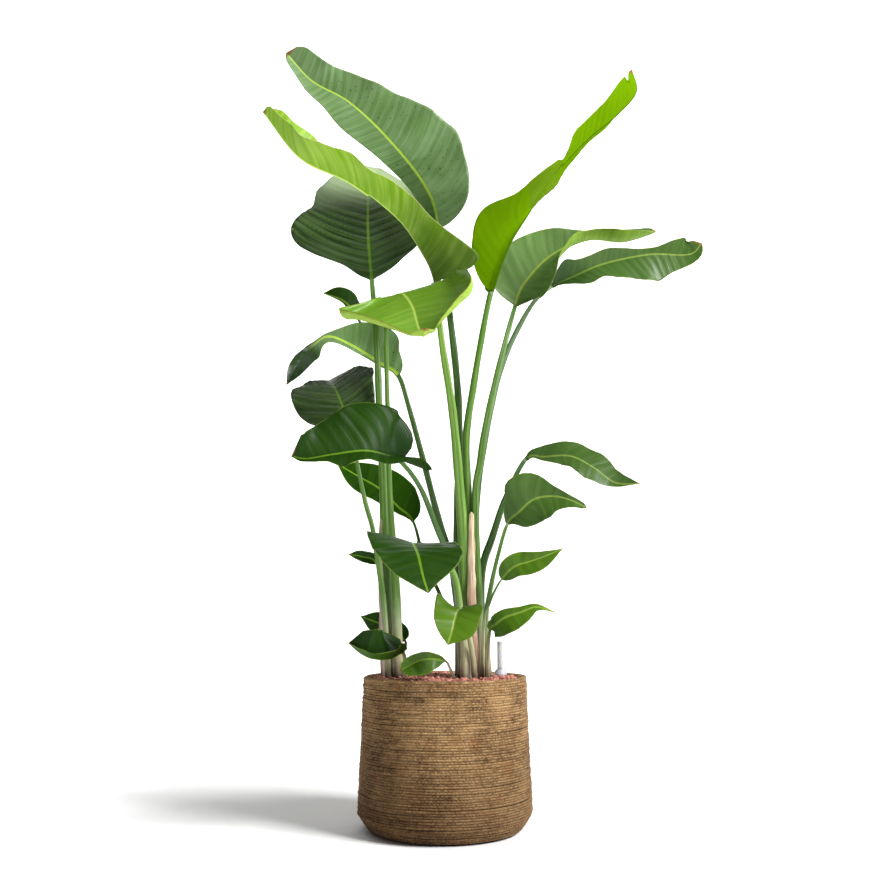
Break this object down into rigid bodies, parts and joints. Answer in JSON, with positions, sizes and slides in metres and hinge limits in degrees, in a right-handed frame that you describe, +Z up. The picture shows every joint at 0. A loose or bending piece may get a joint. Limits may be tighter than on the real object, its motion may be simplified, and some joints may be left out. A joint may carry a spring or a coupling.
{
  "type": "potted bird of paradise plant",
  "caption": "Giant bird of paradise with broad paddle leaves on long stalks, in a rope-wound planter of clay granules with a water gauge.",
  "frame": {"origin": "centre of the planter's underside, where it rests on the floor", "axes": "+Z up along the planter's axis, -Y towards the front of the plant, +X to the right of someone facing the front"},
  "size_m": [1.0118, 0.5865, 1.7262],
  "materials": {
    "planter_shell": "plain matt",
    "rope_winding": "wound rope",
    "culture_pot": "plain",
    "clay_granules": "fired, rough and porous",
    "rootstock_left": "fibrous",
    "rootstock_centre": "fibrous",
    "rootstock_front": "fibrous",
    "gauge_housing": "moulded",
    "gauge_tube": "clear",
    "gauge_cap": "clear",
    "gauge_float": "plain",
    "stalk_top_broad": "smooth and waxy",
    "leaf_top_broad": "leathery, glossy above",
    "stalk_top_left": "smooth and waxy",
    "leaf_top_left": "leathery, glossy above",
    "stalk_top_right": "smooth and waxy",
    "leaf_top_right": "leathery, glossy above",
    "stalk_right_upper": "smooth and waxy",
    "leaf_right_upper": "leathery, glossy above",
    "stalk_right_long": "smooth and waxy",
    "leaf_right_long": "leathery, glossy above",
    "stalk_left_arching": "smooth and waxy",
    "leaf_left_arching": "leathery, glossy above",
    "stalk_left_broad": "smooth and waxy",
    "leaf_left_broad": "leathery, glossy above",
    "stalk_left_rear": "smooth and waxy",
    "leaf_left_rear": "leathery, glossy above",
    "stalk_front_centre": "smooth and waxy",
    "leaf_front_centre": "leathery, glossy above",
    "stalk_front_low": "smooth and waxy",
    "leaf_front_low": "leathery, glossy above",
    "stalk_right_arching": "smooth and waxy",
    "leaf_right_arching": "leathery, glossy above",
    "stalk_right_middle": "smooth and waxy",
    "leaf_right_middle": "leathery, glossy above",
    "stalk_right_lower": "smooth and waxy",
    "leaf_right_lower": "leathery, glossy above",
    "stalk_right_lowest": "smooth and waxy",
    "leaf_right_lowest": "leathery, glossy above",
    "stalk_upper_fan": "smooth and waxy",
    "leaf_upper_fan": "leathery, glossy above",
    "stalk_centre_cupped": "smooth and waxy",
    "leaf_centre_cupped": "leathery, glossy above",
    "stalk_left_small": "smooth and waxy",
    "leaf_left_small": "leathery, glossy above",
    "stalk_left_hanging": "smooth and waxy",
    "leaf_left_hanging": "leathery, glossy above",
    "stalk_left_pointed": "smooth and waxy",
    "leaf_left_pointed": "leathery, glossy above",
    "stalk_low_cupped": "smooth and waxy",
    "leaf_low_cupped": "leathery, glossy above",
    "stalk_low_rear": "smooth and waxy",
    "leaf_low_rear": "leathery, glossy above",
    "stalk_low_front": "smooth and waxy",
    "leaf_low_front": "leathery, glossy above",
    "sheath_tall": "dry and papery",
    "sheath_pale": "dry and papery",
    "sheath_left": "dry and papery"
  },
  "bodies": {
    "root": {"planter_shell": "planter_shell", "rope_winding": "rope_winding", "culture_pot": "culture_pot", "clay_granules": "clay_granules", "rootstock_left": "rootstock_left", "rootstock_centre": "rootstock_centre", "rootstock_front": "rootstock_front", "gauge_housing": "gauge_housing", "gauge_tube": "gauge_tube", "gauge_cap": "gauge_cap", "gauge_float": "gauge_float", "stalk_top_broad": "stalk_top_broad", "leaf_top_broad": "leaf_top_broad", "stalk_top_left": "stalk_top_left", "leaf_top_left": "leaf_top_left", "stalk_top_right": "stalk_top_right", "leaf_top_right": "leaf_top_right", "stalk_right_upper": "stalk_right_upper", "leaf_right_upper": "leaf_right_upper", "stalk_right_long": "stalk_right_long", "leaf_right_long": "leaf_right_long", "stalk_left_arching": "stalk_left_arching", "leaf_left_arching": "leaf_left_arching", "stalk_left_broad": "stalk_left_broad", "leaf_left_broad": "leaf_left_broad", "stalk_left_rear": "stalk_left_rear", "leaf_left_rear": "leaf_left_rear", "stalk_front_centre": "stalk_front_centre", "leaf_front_centre": "leaf_front_centre", "stalk_front_low": "stalk_front_low", "leaf_front_low": "leaf_front_low", "stalk_right_arching": "stalk_right_arching", "leaf_right_arching": "leaf_right_arching", "stalk_right_middle": "stalk_right_middle", "leaf_right_middle": "leaf_right_middle", "stalk_right_lower": "stalk_right_lower", "leaf_right_lower": "leaf_right_lower", "stalk_right_lowest": "stalk_right_lowest", "leaf_right_lowest": "leaf_right_lowest", "stalk_upper_fan": "stalk_upper_fan", "leaf_upper_fan": "leaf_upper_fan", "stalk_centre_cupped": "stalk_centre_cupped", "leaf_centre_cupped": "leaf_centre_cupped", "stalk_left_small": "stalk_left_small", "leaf_left_small": "leaf_left_small", "stalk_left_hanging": "stalk_left_hanging", "leaf_left_hanging": "leaf_left_hanging", "stalk_left_pointed": "stalk_left_pointed", "leaf_left_pointed": "leaf_left_pointed", "stalk_low_cupped": "stalk_low_cupped", "leaf_low_cupped": "leaf_low_cupped", "stalk_low_rear": "stalk_low_rear", "leaf_low_rear": "leaf_low_rear", "stalk_low_front": "stalk_low_front", "leaf_low_front": "leaf_low_front", "sheath_tall": "sheath_tall", "sheath_pale": "sheath_pale", "sheath_left": "sheath_left"}
  },
  "joints": []
}
